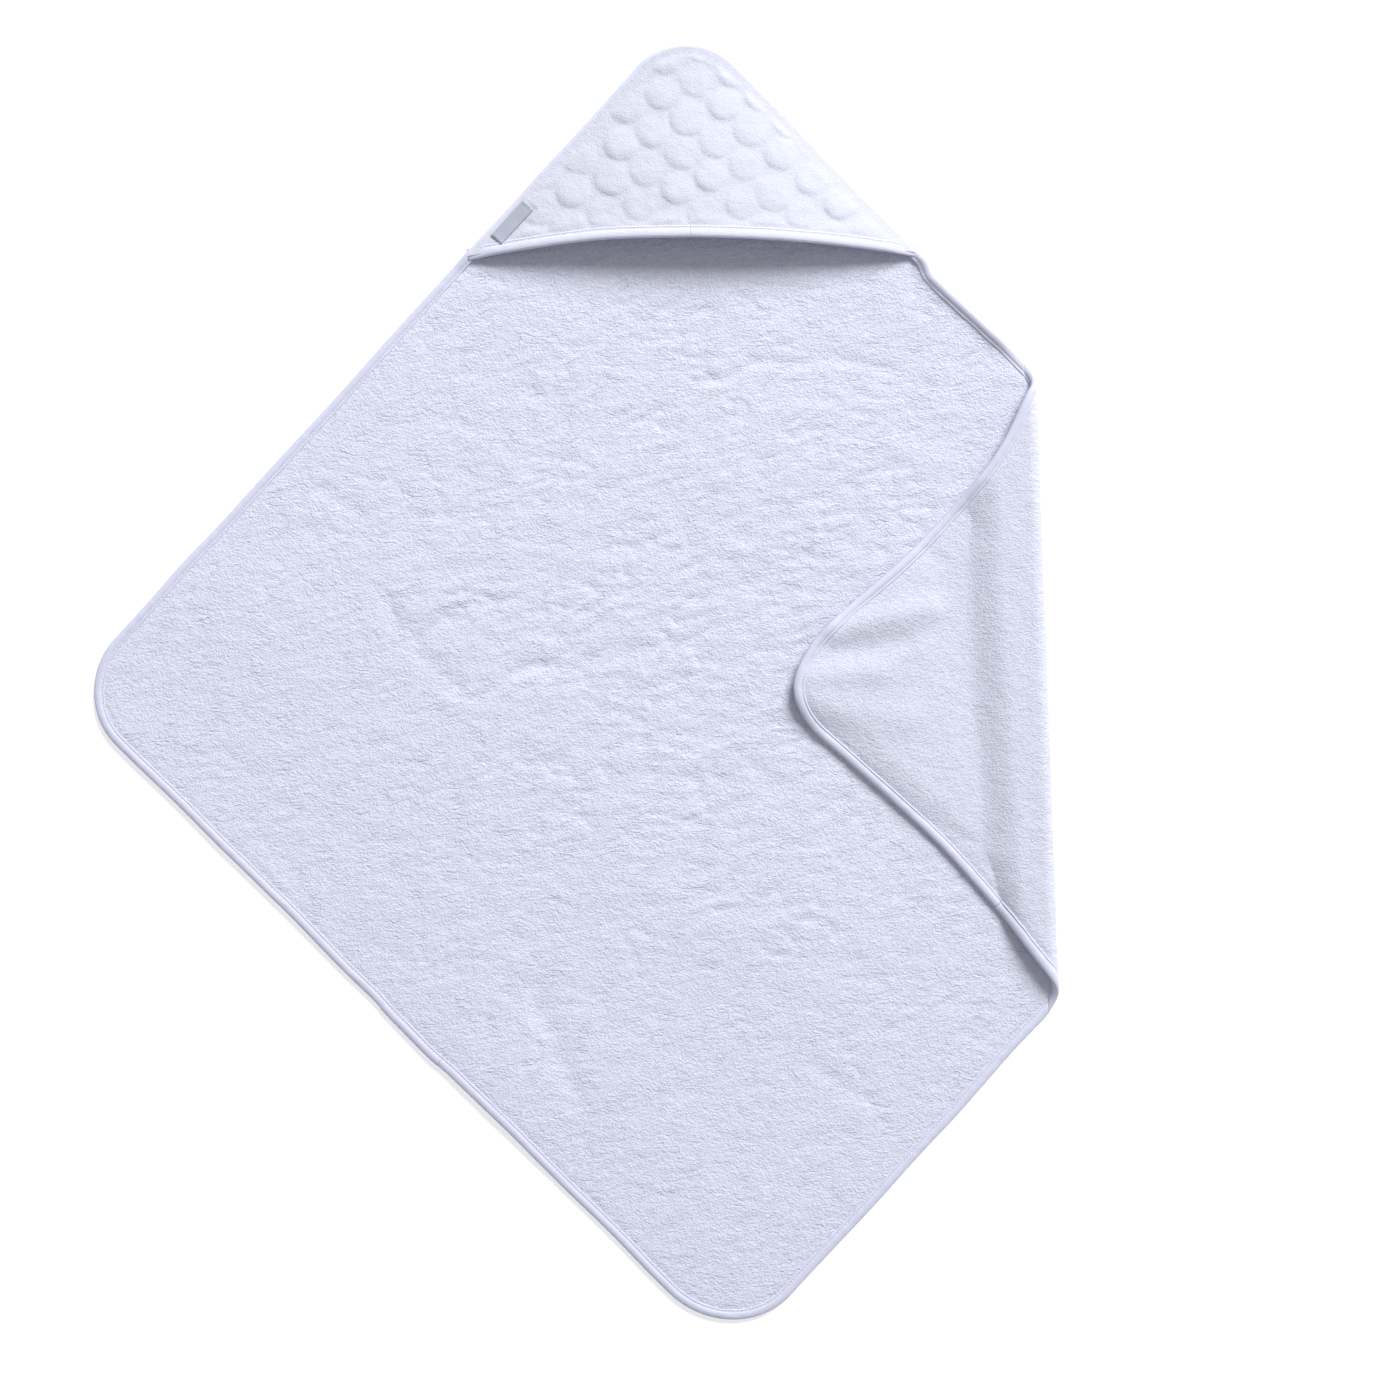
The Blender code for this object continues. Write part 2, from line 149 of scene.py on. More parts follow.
def spline(points, per_span=12):
    """A smooth curve through a few points."""
    points = np.asarray(points, float)
    padded = np.vstack((2 * points[0] - points[1], points, 2 * points[-1] - points[-2]))
    curve = []
    for a, b, c, d in zip(padded, padded[1:], padded[2:], padded[3:]):
        for t in np.arange(per_span) / per_span:
            curve.append(0.5 * (2 * b + (c - a) * t + (2 * a - 5 * b + 4 * c - d) * t * t
                                + (3 * b - a - 3 * c + d) * t ** 3))
    return np.array(curve + [points[-1]])


def distance_to_path(points, path, chunk=20000):
    """Shortest distance from each point to a path, and how far along it that is."""
    a, b = path[:-1], path[1:]
    span = b - a
    squared = np.sum(span * span, axis=1)
    walked = lengths_along(path)
    found, places = [], []
    for first in range(0, len(points), chunk):
        part = points[first:first + chunk, None, :]
        share = np.clip(np.sum((part - a) * span, axis=2) / squared, 0, 1)
        gap = np.linalg.norm(part - (a + share[..., None] * span), axis=2)
        best = np.argmin(gap, axis=1)
        rows = np.arange(len(best))
        found.append(gap[rows, best])
        places.append(walked[best] + share[rows, best] * np.sqrt(squared[best]))
    return np.concatenate(found), np.concatenate(places)


def inside(points, ring):
    """Which points lie inside a closed outline."""
    x, y = points[:, 0], points[:, 1]
    result = np.zeros(len(points), bool)
    for (x0, y0), (x1, y1) in zip(ring, np.roll(ring, -1, axis=0)):
        if y0 == y1:
            continue
        crosses = (y0 > y) != (y1 > y)
        result ^= crosses & (x < x0 + (y - y0) * (x1 - x0) / (y1 - y0))
    return result


NOISE_SHIFT, NOISE_GAIN = 1000.0, 1.6    # keeps its cells above 0, fills -1 to 1


def noise(points, cell, seed, angle=0.0):
    """Smooth noise from -1 to 1; cell is its grain along and across the angle."""
    cell = np.broadcast_to(np.asarray(cell, float), (2,))
    c, s = math.cos(angle), math.sin(angle)
    x = (points[:, 0] * c + points[:, 1] * s) / cell[0] + NOISE_SHIFT
    y = (points[:, 1] * c - points[:, 0] * s) / cell[1] + NOISE_SHIFT
    table = np.random.default_rng(seed).uniform(0, 2 * math.pi, (256, 256))
    xi, yi = np.floor(x).astype(int), np.floor(y).astype(int)
    fx, fy = x - xi, y - yi
    total = np.zeros(len(points))
    for dx in (0, 1):
        for dy in (0, 1):
            turn = table[(xi + dx) % 256, (yi + dy) % 256]
            pull = np.cos(turn) * (fx - dx) + np.sin(turn) * (fy - dy)
            wx = fx * fx * (3 - 2 * fx) if dx else 1 - fx * fx * (3 - 2 * fx)
            wy = fy * fy * (3 - 2 * fy) if dy else 1 - fy * fy * (3 - 2 * fy)
            total += wx * wy * pull
    return total * NOISE_GAIN


# -------------------------------- outlines in plan
SIDE_DRAWS = (               # depth, and the distances from the apex it comes in between
    (0.0035, 0.06, 0.25), (0.0060, 0.292, 0.312), (-0.0030, 0.32, 0.40),
)


def apex_side_draw(path):
    """How far the edge between the hood and the fold is pulled in, at each point."""
    away = np.linalg.norm(path - APEX, axis=1)
    draw = sum(depth * smooth(start, end, away) for depth, start, end in SIDE_DRAWS)
    return np.where((path[:, 0] > 0.0) & (path[:, 1] > 0.1), draw, 0.0)


def clipped(path, cut_x, way):
    """The part of a path on one side of a cut, ending exactly on it."""
    kept = np.flatnonzero((path[:, 0] - cut_x) * way > 0.0004)
    first, last = kept[0], kept[-1]
    start = at_x(path[first - 1], path[first], cut_x)
    end = at_x(path[last], path[last + 1], cut_x)
    return np.vstack((start, path[first:last + 1], end))


def towel_edge():
    """Outer edge of the flat part, from the fold's apex end round to its foot end."""
    past_fold = FOLD_X + 0.02
    path = np.vstack((
        at_x(APEX, RIGHT, past_fold)[None],
        rounded_corner(RIGHT, APEX, LEFT, APEX_RADIUS),
        rounded_corner(APEX, LEFT, FOOT, SIDE_RADIUS),
        rounded_corner(LEFT, FOOT, RIGHT, FOOT_RADIUS),
        at_x(FOOT, RIGHT, past_fold)[None],
    ))
    path = resampled(path, EDGE_STEP)
    waver = noise(path, 0.07, 11) * 0.0011
    join_middle = LEFT + (FOOT - LEFT) * (JOIN_START + JOIN_END) / 2
    from_join = np.linalg.norm(path - join_middle, axis=1)
    swell = -0.0016 * (1 - smooth(0.020, 0.050, from_join))
    path = inset(path, apex_side_draw(path) + waver * smooth(0.30, 0.25, path[:, 0]) + swell)
    return clipped(path, FOLD_X, -1)


EDGE = towel_edge()
SIDE_EDGE = EDGE[:260]       # from the fold to a little beyond the apex
FLAP_ROUTE = (               # folded corner's outer edge as it lies, from foot to apex
    (0.2805, -0.2590), (0.2636, -0.2356), (0.2389, -0.2009), (0.1883, -0.1405),
    (0.1165, -0.0700), (0.0835, -0.0370), (0.0716, -0.0050), (0.0840, 0.0270),
    (0.1098, 0.0548), (0.1714, 0.1050), (0.2261, 0.1592), (0.2560, 0.1960),
    (0.2805, 0.2415),
)


def corner_edge():
    """Folded corner's edge in cloth coordinates: x is the distance on from FOLD_X."""
    lying = spline(FLAP_ROUTE)
    cloth = np.stack((BEND_LENGTH + FOLD_X - lying[:, 0], lying[:, 1]), axis=1)
    foot = np.array((0.0, EDGE[-1][1]))
    apex = np.array((0.0, EDGE[0][1]))
    return resampled(np.vstack((foot, cloth, apex)), EDGE_STEP)


CORNER = corner_edge()


# -------------------------------- how each cloth lies
def edge_curl(plan):
    """The edge between the hood and the fold stands up like a lip."""
    height, width = 0.0055, 0.017
    gap, place = distance_to_path(plan, SIDE_EDGE)
    along = smooth(0.0, 0.035, place) * (1 - smooth(0.118, 0.140, place))
    return height * along * (1 - smooth(0.0, width, gap)) ** 1.3


def rest_lift(plan):
    """Low places where the laid cloth doesn't quite touch the floor."""
    most, more_at_edge = 0.0012, 0.0009
    gap, _ = distance_to_path(plan, EDGE[::6])
    near_edge = 1 - smooth(0.0, 0.10, gap)
    quiet = smooth(0.0, 0.12, FOLD_X - plan[:, 0])
    quiet *= 1 - smooth(0.30, 0.40, plan[:, 1])
    swell = np.maximum(noise(plan, 0.13, 5) + 0.15, 0.0)
    return quiet * swell * (most + more_at_edge * near_edge)


def lay_flat(plan, height):
    lift = rest_lift(plan) + edge_curl(plan)
    return np.column_stack((plan, CLOTH_MIDDLE + lift + height))


WRINKLES = (                 # on the folded corner, as it lies: from, to, width, height
    ((0.110, 0.044), (0.190, 0.060), 0.012, 0.0030),
    ((0.085, 0.004), (0.145, 0.006), 0.011, 0.0020),
    ((0.108, 0.026), (0.168, 0.033), 0.010, -0.0016),
    ((0.195, 0.110), (0.225, 0.132), 0.012, -0.0016),
    ((0.080, -0.015), (0.170, -0.035), 0.014, 0.0016),
    ((0.130, -0.070), (0.215, -0.150), 0.016, 0.0012),
    ((0.190, 0.020), (0.215, -0.120), 0.020, 0.0012),
)


FLAP_SHOULDER, FLAP_FALL = 0.022, 0.034      # its fall off the bend: where, how long
FLAP_DEPTH, FLAP_SHALLOW = 0.0092, 0.0028    # how deep that is, in the middle and at the ends
FLAP_SETTLED = 0.0048                        # the depth it keeps further on
FLAP_DROOP = 0.0052                          # its lower edge lies this much deeper
FLAP_LOWEST, FLAP_HIGHEST = 0.0055, 0.0012   # over the flat cloth's middle, over the crest


def flap_middle(away, across):
    """Height of the folded corner's middle; away is the distance on from the bend."""
    crest = CLOTH_MIDDLE + 2 * BEND_RADIUS
    x = FOLD_X - away
    shoulder = FLAP_SHOULDER + 0.003 * np.sin(across * 13.0 + 0.6)
    foot = shoulder + FLAP_FALL
    from_middle = np.abs(across + 0.045) + 0.012 * np.sin(across * 31)
    depth = np.maximum(FLAP_DEPTH * smooth(0.225, 0.165, from_middle), FLAP_SHALLOW)
    height = crest - depth * smooth(shoulder, foot, away)
    height = height + (depth - FLAP_SETTLED) * smooth(foot + 0.004, foot + 0.070, away)
    height = height + 0.0018 * smooth(0.15, 0.20, away)
    place = np.stack((x, across), axis=1)
    for start, end, width, tall in WRINKLES:
        gap, _ = distance_to_path(place, np.array((start, end)))
        height = height + tall * np.exp(-(gap / width) ** 2)
    gap, _ = distance_to_path(place, np.array(FLAP_ROUTE))
    droop = (1 - smooth(0.0, 0.034, gap)) * smooth(-0.005, -0.045, across)
    height = height - FLAP_DROOP * droop * smooth(0.004, 0.040, away)
    return np.clip(height, CLOTH_MIDDLE + FLAP_LOWEST, crest + FLAP_HIGHEST)


def corner_middle(cloth):
    """The middle of the folded corner's cloth: round the bend, then back over the towel."""
    away = cloth[:, 0] - BEND_LENGTH
    turn = np.clip(cloth[:, 0] / BEND_RADIUS, 0, math.pi) - math.pi / 2
    centre_z = CLOTH_MIDDLE + BEND_RADIUS
    x = FOLD_X + BEND_RADIUS * np.cos(turn) - np.maximum(away, 0.0)
    z_bend = centre_z + BEND_RADIUS * np.sin(turn)
    z = np.where(away > 0, flap_middle(np.maximum(away, 0.0), cloth[:, 1]), z_bend)
    return np.stack((x, cloth[:, 1], z), axis=1)


def lay_corner(cloth, height):
    """Cloth coordinates to space; a positive height is on the side that faced up."""
    step = 0.0006
    middle = corner_middle(cloth)
    along = corner_middle(cloth + (step, 0.0)) - corner_middle(cloth - (step, 0.0))
    across = corner_middle(cloth + (0.0, step)) - corner_middle(cloth - (0.0, step))
    normal = unit(np.cross(along, across))
    return middle + normal * np.asarray(height)[:, None]


def hood_shares(plan):
    """Where a plan point lies in the hood: down from the apex, and across, both 0 to 1."""
    a, b = (LEFT - APEX) * HOOD_SHARE, (RIGHT - APEX) * HOOD_SHARE
    scale = a[0] * b[1] - a[1] * b[0]
    offset = plan - APEX
    on_left = np.maximum((offset[:, 0] * b[1] - offset[:, 1] * b[0]) / scale, 0)
    on_right = np.maximum((a[0] * offset[:, 1] - a[1] * offset[:, 0]) / scale, 0)
    down = np.maximum(on_left + on_right, 1e-6)
    return down, on_right / down


def hood_lift(plan):
    down, across = hood_shares(plan)
    level = np.minimum(down, 1.0)
    rise = HOOD_RISE * level ** 2 * (3 - 2 * level) + HOOD_LIP * smooth(0.82, 1.0, level)
    return rise * 4 * across * (1 - across)


def lay_hood(plan, height):
    return np.column_stack((plan, HOOD_SEAT + hood_lift(plan) + height))


# -------------------------------- relief of each surface
CREASES = (                  # on the flat terry: from, to, width, depth
    ((-0.276, 0.078), (-0.215, 0.006), 0.009, 0.0011),
    ((-0.156, -0.253), (-0.129, -0.346), 0.011, 0.0015),
    ((0.000, 0.262), (0.052, 0.276), 0.004, 0.0011),
    ((-0.249, 0.052), (-0.188, 0.082), 0.004, 0.0010),
    ((-0.203, -0.003), (-0.142, 0.025), 0.004, 0.0010),
    ((-0.130, 0.028), (-0.085, 0.064), 0.004, 0.0009),
    ((0.045, 0.277), (0.160, 0.272), 0.005, 0.0011),
    ((-0.330, 0.180), (-0.290, 0.160), 0.007, 0.0010),
    ((0.080, -0.330), (0.125, -0.365), 0.006, 0.0008),
    ((-0.160, 0.020), (-0.060, 0.035), 0.006, 0.0008),
)


def front_relief(flat):
    """Loose pile and short creases of the terry's front; flat is the plan before folding."""
    drift = np.stack((noise(flat, 0.045, 31), noise(flat, 0.045, 32)), axis=1)
    bent = flat + 0.007 * drift
    busy = np.exp(-((flat[:, 0] - 0.02) / 0.26) ** 2 - ((flat[:, 1] - 0.06) / 0.30) ** 2)
    busy = 0.40 + 0.60 * busy
    broad = noise(bent, (0.040, 0.022), 40, angle=0.30)
    bumps = noise(bent, (0.019, 0.0085), 41, angle=0.22)
    fine = noise(bent, (0.0105, 0.0065), 42, angle=0.05)
    ridge = np.clip(1 - np.abs(noise(bent, (0.034, 0.0115), 43, angle=0.28)) / 0.17, 0, 1)
    patch = smooth(-0.15, 0.35, noise(flat, 0.050, 44))
    relief = busy * (0.0006 * broad + 0.0007 * bumps + 0.0003 * fine
                     - 0.0015 * ridge * patch)
    for start, end, width, depth in CREASES:
        gap, _ = distance_to_path(bent, np.array((start, end)))
        relief = relief - depth * np.exp(-(gap / width) ** 2)
    return relief


def back_relief(flat):
    return 0.0003 * noise(flat, 0.016, 51) + 0.0002 * noise(flat, 0.008, 52)


DOWN_SIDE = unit(LEFT - APEX)
LABEL_MIDDLE = APEX + DOWN_SIDE * LABEL_DISTANCE + left_of(DOWN_SIDE) * LABEL_INSET


def label_share(plan):
    """1 under the label, 0 a little away from it."""
    offset = plan - LABEL_MIDDLE
    along = np.abs(offset @ DOWN_SIDE) - LABEL_LENGTH / 2
    inward = np.abs(offset @ left_of(DOWN_SIDE)) - LABEL_WIDTH / 2
    return 1 - smooth(0.0, 0.004, np.maximum(along, inward))


def bubble_relief(plan):
    """Round quilted bubbles in a staggered lattice, each a little different."""
    a = BUBBLE_PITCH * np.array((math.cos(BUBBLE_ANGLE), math.sin(BUBBLE_ANGLE)))
    low = BUBBLE_ANGLE - math.pi / 3
    b = BUBBLE_PITCH * np.array((math.cos(low), math.sin(low)))
    lattice = np.linalg.inv(np.stack((a, b), axis=1))
    share = (plan - BUBBLE_ORIGIN) @ lattice.T
    cell = np.floor(share)
    chance = np.random.default_rng(7).uniform(-1, 1, (64, 64, 4))
    height = np.zeros(len(plan))
    for di in (0, 1):
        for dj in (0, 1):
            i, j = (cell[:, 0] + di).astype(int), (cell[:, 1] + dj).astype(int)
            luck = chance[i % 64, j % 64]
            centre = BUBBLE_ORIGIN + i[:, None] * a + j[:, None] * b + luck[:, :2] * 0.0024
            radius = BUBBLE_RADIUS + 0.0016 * luck[:, 2]
            away = np.linalg.norm(plan - centre, axis=1) / radius
            dome = np.clip(1 - away ** 4, 0, 1) ** 0.8 * (0.80 + 0.20 * (1 - away ** 2))
            lean = 0.66 - 0.44 * ((plan - centre) @ SLUMP) / radius
            height = np.maximum(height, dome * lean * BUBBLE_HEIGHT * (1 + 0.3 * luck[:, 3]))
    return height


# -------------------------------- meshes
PIECES = []


def add_piece(name, points, faces, materials, flat=None, sides=None):
    """A mesh at points in plan coordinates; flat holds its texture coordinates in metres."""
    mesh = bpy.data.meshes.new(name)
    mesh.from_pydata((np.asarray(points) + ORIGIN).tolist(), [], faces)
    mesh.validate()
    for piece_material in materials:
        mesh.materials.append(piece_material)
    mesh.polygons.foreach_set("use_smooth", np.ones(len(mesh.polygons), bool))
    if sides is not None:
        mesh.polygons.foreach_set("material_index", np.asarray(sides, np.int32))
    if flat is not None:
        corners = np.zeros(len(mesh.loops), np.int32)
        mesh.loops.foreach_get("vertex_index", corners)
        layer = mesh.uv_layers.new(name="cloth")
        layer.data.foreach_set("uv", np.asarray(flat, np.float32)[corners].ravel())
    piece = bpy.data.objects.new(name, mesh)
    bpy.context.scene.collection.objects.link(piece)
    PIECES.append(piece)
    return piece


def filled(ring, spacing, margin):
    """The outline's points, points spread evenly inside it, and triangles over them."""
    low, high = ring.min(axis=0), ring.max(axis=0)
    rows = np.arange(low[1], high[1], spacing * 0.866)
    places = []
    for number, y in enumerate(rows):
        x = np.arange(low[0] + (number % 2) * spacing / 2, high[0], spacing)
        places.append(np.stack((x, np.full(len(x), y)), axis=1))
    places = np.concatenate(places)
    jitter = np.random.default_rng(len(places)).uniform(-0.12, 0.12, places.shape)
    places = places + jitter * spacing
    places = places[inside(places, ring)]
    gap, _ = distance_to_path(places, np.vstack((ring, ring[:1]))[::3], SMALL_CHUNK)
    places = places[gap > margin]
    points = np.vstack((ring, places))
    made = geometry.delaunay_2d_cdt([Vector(p) for p in points.tolist()], [],
                                    [list(range(len(ring)))], 1, 1e-7, False)
    points, faces = np.array([tuple(p) for p in made[0]]), np.array(made[2])
    a, b, c = points[faces[:, 0]], points[faces[:, 1]], points[faces[:, 2]]
    size = (b[:, 0] - a[:, 0]) * (c[:, 1] - a[:, 1]) - (b[:, 1] - a[:, 1]) * (c[:, 0] - a[:, 0])
    on_ring = np.all(faces < len(ring), axis=1)
    keep = ~on_ring | (inside((a + b + c) / 3, ring) & (np.abs(size) > 1e-12))
    return points, [tuple(face) for face in faces[keep].tolist()]


def cloth_sheet(name, ring, lay, taped, materials, half, spacing, coarse, front, back,
                flat_shift=0.0, rim=RIM_HALF):
    """A closed slab of cloth over an outline; lay puts it in place.

    taped is the edge where the tape squeezes it to rim, half its half thickness
    elsewhere, front and back the relief of its two sides.
    """
    top, top_faces = filled(ring, spacing, spacing * 0.55)
    under, under_faces = filled(ring, coarse, spacing * 0.7)

    def heights(plan, relief):
        gap, _ = distance_to_path(plan, taped, SMALL_CHUNK)
        flat = plan + (flat_shift, 0.0)
        pressed = smooth(*HOOD_COVERS, flat[:, 1]) if lay is lay_flat else 0.0
        full = rim + (half - rim) * smooth(0.004, 0.0105 + 0.033 * pressed, gap)
        return full + relief(flat) * smooth(0.005, 0.013, gap) * (1 - 0.6 * pressed)

    count, ring_count = len(top), len(ring)
    points = np.vstack((lay(top, heights(top, front)), lay(under, -heights(under, back))))
    faces = list(top_faces)
    faces += [tuple(count + k for k in reversed(face)) for face in under_faces]
    sides = [0] * len(top_faces) + [len(materials) - 1] * len(under_faces)
    for k in range(ring_count):
        following = (k + 1) % ring_count
        faces.append((k, count + k, count + following, following))
        sides.append(0)
    flat = np.vstack((top, under)) + (flat_shift, 0.0)
    piece = add_piece(name, points, faces, materials, flat, sides)
    ends = np.zeros(len(piece.data.edges) * 2, np.int32)
    piece.data.edges.foreach_get("vertices", ends)
    ends = np.where(ends < count, ends, ends - count).reshape(-1, 2)
    sharp = piece.data.attributes.new("sharp_edge", "BOOLEAN", "EDGE")
    sharp.data.foreach_set("value", np.all(ends < ring_count, axis=1))
    return piece


TAPE_SECTION = (             # from the outer edge inwards: distance, half height
    (0.0000, 0.0000), (0.0005, 0.0013), (0.0016, 0.0022), (0.0034, 0.0028),
    (0.0054, 0.0029), (0.0068, 0.0027), (0.0078, 0.0021), (STITCH_INSET, 0.0018),
    (0.0091, 0.0021), (0.0097, 0.0024), (0.0103, 0.0023), (0.0107, 0.0012),
)
TAPE_GIRTH = 0.0216          # round both sides of the section


def tape_directions(path, start_way=None, end_way=None):
    """Steps across the tape at each point, turned to lie along a cut at its ends."""
    across = inset(path, 1.0) - path
    walked = lengths_along(path)
    for way, gone in ((start_way, walked), (end_way, walked[-1] - walked)):
        if way is not None:
            share = (1 - smooth(0.0, 0.016, gone))[:, None]
            across = across * (1 - share) + np.array(way) * share
    return across


def edge_tape(name, path, lay, tape_material, seed, start_way=None, end_way=None,
              tall=None, wide=1.0, stretch=1.0):
    """A folded tape round a cloth's edge; tall adds height at each point of the path."""
    across = tape_directions(path, start_way, end_way)
    walked = lengths_along(path)
    tall = np.zeros(len(path)) if tall is None else tall
    section = [*TAPE_SECTION, *((n, -h) for n, h in TAPE_SECTION[-1:0:-1])]
    thick = TAPE_SECTION[4][1]
    columns = []
    for n, h in section:
        place = np.stack((walked, np.full(len(path), n * 3 + (h > 0))), axis=1)
        free = min(1.0, n / 0.004)
        pucker = noise(place, (0.0065, 0.02), seed) * 0.00022 * free
        pucker += noise(place, (0.022, 0.05), seed + 1) * 0.0002 * free
        rise = np.full(len(path), h * stretch) + pucker * np.sign(h)
        rise += tall * (h + thick) / (2 * thick)
        side = noise(place, (0.009, 0.02), seed + 2) * 0.00025 * (n > 0.009)
        plan = path + across * (n * wide + side)[:, None]
        columns.append(lay(plan, rise))
    points = np.stack(columns, axis=1)
    rows, ring = points.shape[:2]
    faces = []
    for i in range(rows - 1):
        for k in range(ring):
            after = (k + 1) % ring
            faces.append(((i + 1) * ring + k, (i + 1) * ring + after,
                          i * ring + after, i * ring + k))
    faces.append(tuple(range(ring)))
    faces.append(tuple((rows - 1) * ring + k for k in reversed(range(ring))))
    girth = np.array([n if h >= 0 else TAPE_GIRTH - n for n, h in section])
    flat = np.stack((np.repeat(walked, ring), np.tile(girth, rows)), axis=1)
    return add_piece(name, points.reshape(-1, 3), faces, [tape_material], flat)


# along half a stitch's length, then size and drop as shares of its radius
STITCH_RINGS = ((-1.0, 0.30, -0.9), (-0.78, 0.85, -0.25), (0.0, 1.0, 0.1),
                (0.78, 0.85, -0.25), (1.0, 0.30, -0.9))


def stitches(name, routes, thread_material, length=0.0027, pitch=0.0034, radius=0.00034):
    """Short raised threads along routes, each a line of points with its up directions."""
    sides = 6
    turn = np.arange(sides) / sides * 2 * math.pi
    points, faces = [], []
    for route, ups in routes:
        walked = lengths_along(route)
        count = int((walked[-1] - length) / pitch)
        for number in range(max(count, 1)):
            middle = length + number * pitch
            ends = [np.array([np.interp(middle + s * length / 2, walked, route[:, k])
                              for k in range(3)]) for s in (-1, 1)]
            up = unit(np.array([np.interp(middle, walked, ups[:, k]) for k in range(3)]))
            centre, along = (ends[0] + ends[1]) / 2, (ends[1] - ends[0]) / 2
            aside = unit(np.cross(up, along))
            first = len(points)
            for place, size, drop in STITCH_RINGS:
                for angle in turn:
                    points.append(centre + along * place + up * radius * drop
                                  + (aside * math.cos(angle) + up * math.sin(angle))
                                  * radius * size)
            for ring in range(len(STITCH_RINGS) - 1):
                for k in range(sides):
                    a, b = first + ring * sides + k, first + ring * sides + (k + 1) % sides
                    faces.append((a, b, b + sides, a + sides))
            faces.append(tuple(first + k for k in reversed(range(sides))))
            last = first + (len(STITCH_RINGS) - 1) * sides
            faces.append(tuple(last + k for k in range(sides)))
    return add_piece(name, np.array(points), faces, [thread_material])


def surface_route(path, across, lay, inward, rise, tall=0.0):
    """A line on a laid surface, with the way up from it, at a distance in from a path."""
    probe = 0.001
    plan = path + across * inward
    height = np.full(len(path), rise) + tall
    route = lay(plan, height)
    above = lay(plan, height + probe)
    return route, above - route


def seam_line(path, cut_x, way):
    """The path inset for the cloth under its tape, ending on a cut; way is the side kept."""
    reach = 0.02
    head = path[0] - unit(path[1] - path[0]) * reach
    tail = path[-1] + unit(path[-1] - path[-2]) * reach
    return clipped(inset(np.vstack((head, path, tail)), SEAM_INSET), cut_x, way)


# -------------------------------- materials
class Paint:
    """A material being put together from nodes."""

    def __init__(self, name, roughness=0.9, specular=0.15, sheen=0.0, sheen_roughness=0.5):
        self.material = bpy.data.materials.new(name)
        self.material.use_nodes = True
        self.nodes = self.material.node_tree.nodes
        self.links = self.material.node_tree.links
        self.shader = self.nodes["Principled BSDF"]
        self.fill(self.shader, {"Roughness": roughness, "Specular IOR Level": specular,
                                "Sheen Weight": sheen, "Sheen Roughness": sheen_roughness})
        place = self.nodes.new("ShaderNodeUVMap")
        place.uv_map = "cloth"
        self.place = place.outputs["UV"]

    def fill(self, node, values):
        for socket, value in values.items():
            node.inputs[socket].default_value = value

    def made(self, kind, source, values):
        """A new node with its values, fed with texture coordinates."""
        node = self.nodes.new(kind)
        self.fill(node, values)
        self.links.new(source or self.place, node.inputs["Vector"])
        return node

    def join(self, value, socket):
        if isinstance(value, bpy.types.NodeSocket):
            self.links.new(value, socket)
        else:
            socket.default_value = value

    def turned(self, angle, scale):
        return self.made("ShaderNodeMapping", None, {"Rotation": (0.0, 0.0, angle),
                                                     "Scale": scale}).outputs["Vector"]

    def grain(self, scale, detail=2.0, place=None, roughness=0.5, distortion=0.0):
        return self.made("ShaderNodeTexNoise", place, {
            "Scale": scale, "Detail": detail, "Roughness": roughness,
            "Distortion": distortion}).outputs["Fac"]

    def cells(self, scale):
        node = self.made("ShaderNodeTexVoronoi", None, {"Scale": scale, "Randomness": 1.0})
        node.feature = "SMOOTH_F1"
        return node.outputs["Distance"]

    def waves(self, scale, direction="X", distortion=0.0):
        node = self.made("ShaderNodeTexWave", None, {"Scale": scale, "Distortion": distortion})
        node.bands_direction = direction
        return node.outputs["Fac"]

    def combine(self, first, second, kind="ADD"):
        node = self.nodes.new("ShaderNodeMath")
        node.operation = kind
        self.join(first, node.inputs[0])
        self.join(second, node.inputs[1])
        return node.outputs["Value"]

    def spread(self, value, low, high, to_low=0.0, to_high=1.0):
        node = self.nodes.new("ShaderNodeMapRange")
        self.fill(node, {"From Min": low, "From Max": high, "To Min": to_low,
                         "To Max": to_high})
        self.links.new(value, node.inputs["Value"])
        return node.outputs["Result"]

    def bump(self, height, distance, strength=1.0):
        node = self.nodes.new("ShaderNodeBump")
        self.fill(node, {"Strength": strength, "Distance": distance})
        self.links.new(height, node.inputs["Height"])
        self.links.new(node.outputs["Normal"], self.shader.inputs["Normal"])

    def colour(self, low, high, share):
        node = self.nodes.new("ShaderNodeMix")
        node.data_type = "RGBA"
        self.join(share, node.inputs["Factor"])
        node.inputs["A"].default_value = (*low, 1.0)
        node.inputs["B"].default_value = (*high, 1.0)
        self.links.new(node.outputs["Result"], self.shader.inputs["Base Color"])


